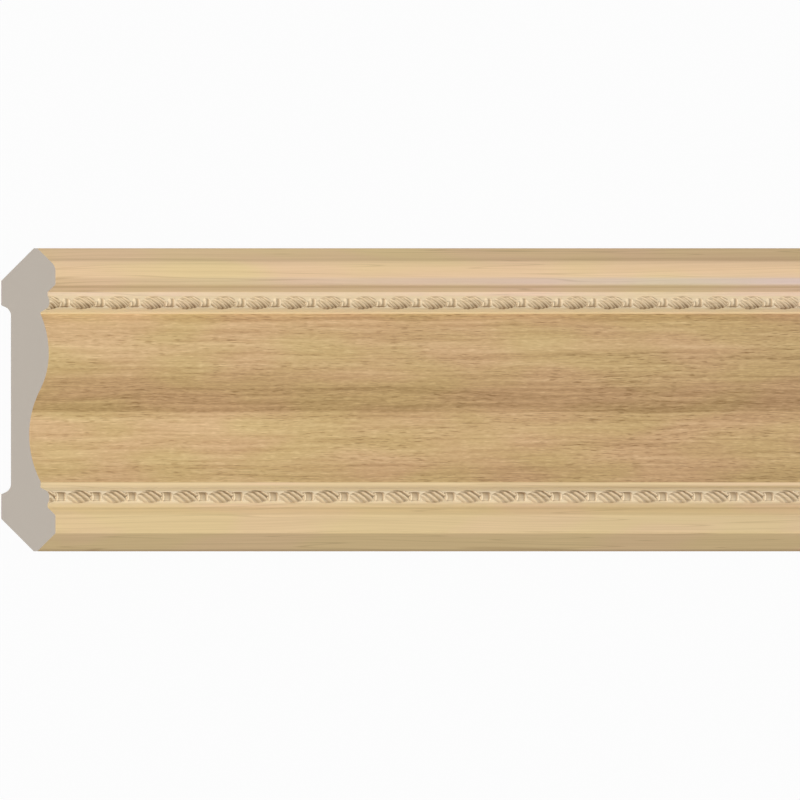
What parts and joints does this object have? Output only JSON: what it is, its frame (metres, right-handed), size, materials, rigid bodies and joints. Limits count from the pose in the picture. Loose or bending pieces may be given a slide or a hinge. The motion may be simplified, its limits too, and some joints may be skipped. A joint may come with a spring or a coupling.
{
  "type": "door cornice",
  "caption": "Straight stock length of crown moulding with 45 degree seats, flat border bands, beaded strips and an ogee face under a wood-grain film, for a door head or ceiling corner.",
  "frame": {"origin": "midway along and midway across the moulding, level with the back lands it lies on", "axes": "+X along the length, +Y towards the upper edge of the face, +Z from the back lands to the face"},
  "size_m": [2.4, 0.134, 0.024],
  "materials": {
    "wood_grain_film": "satin wood-grain film on a foamed polystyrene core"
  },
  "bodies": {
    "root": {"cornice": "wood_grain_film"}
  },
  "joints": []
}
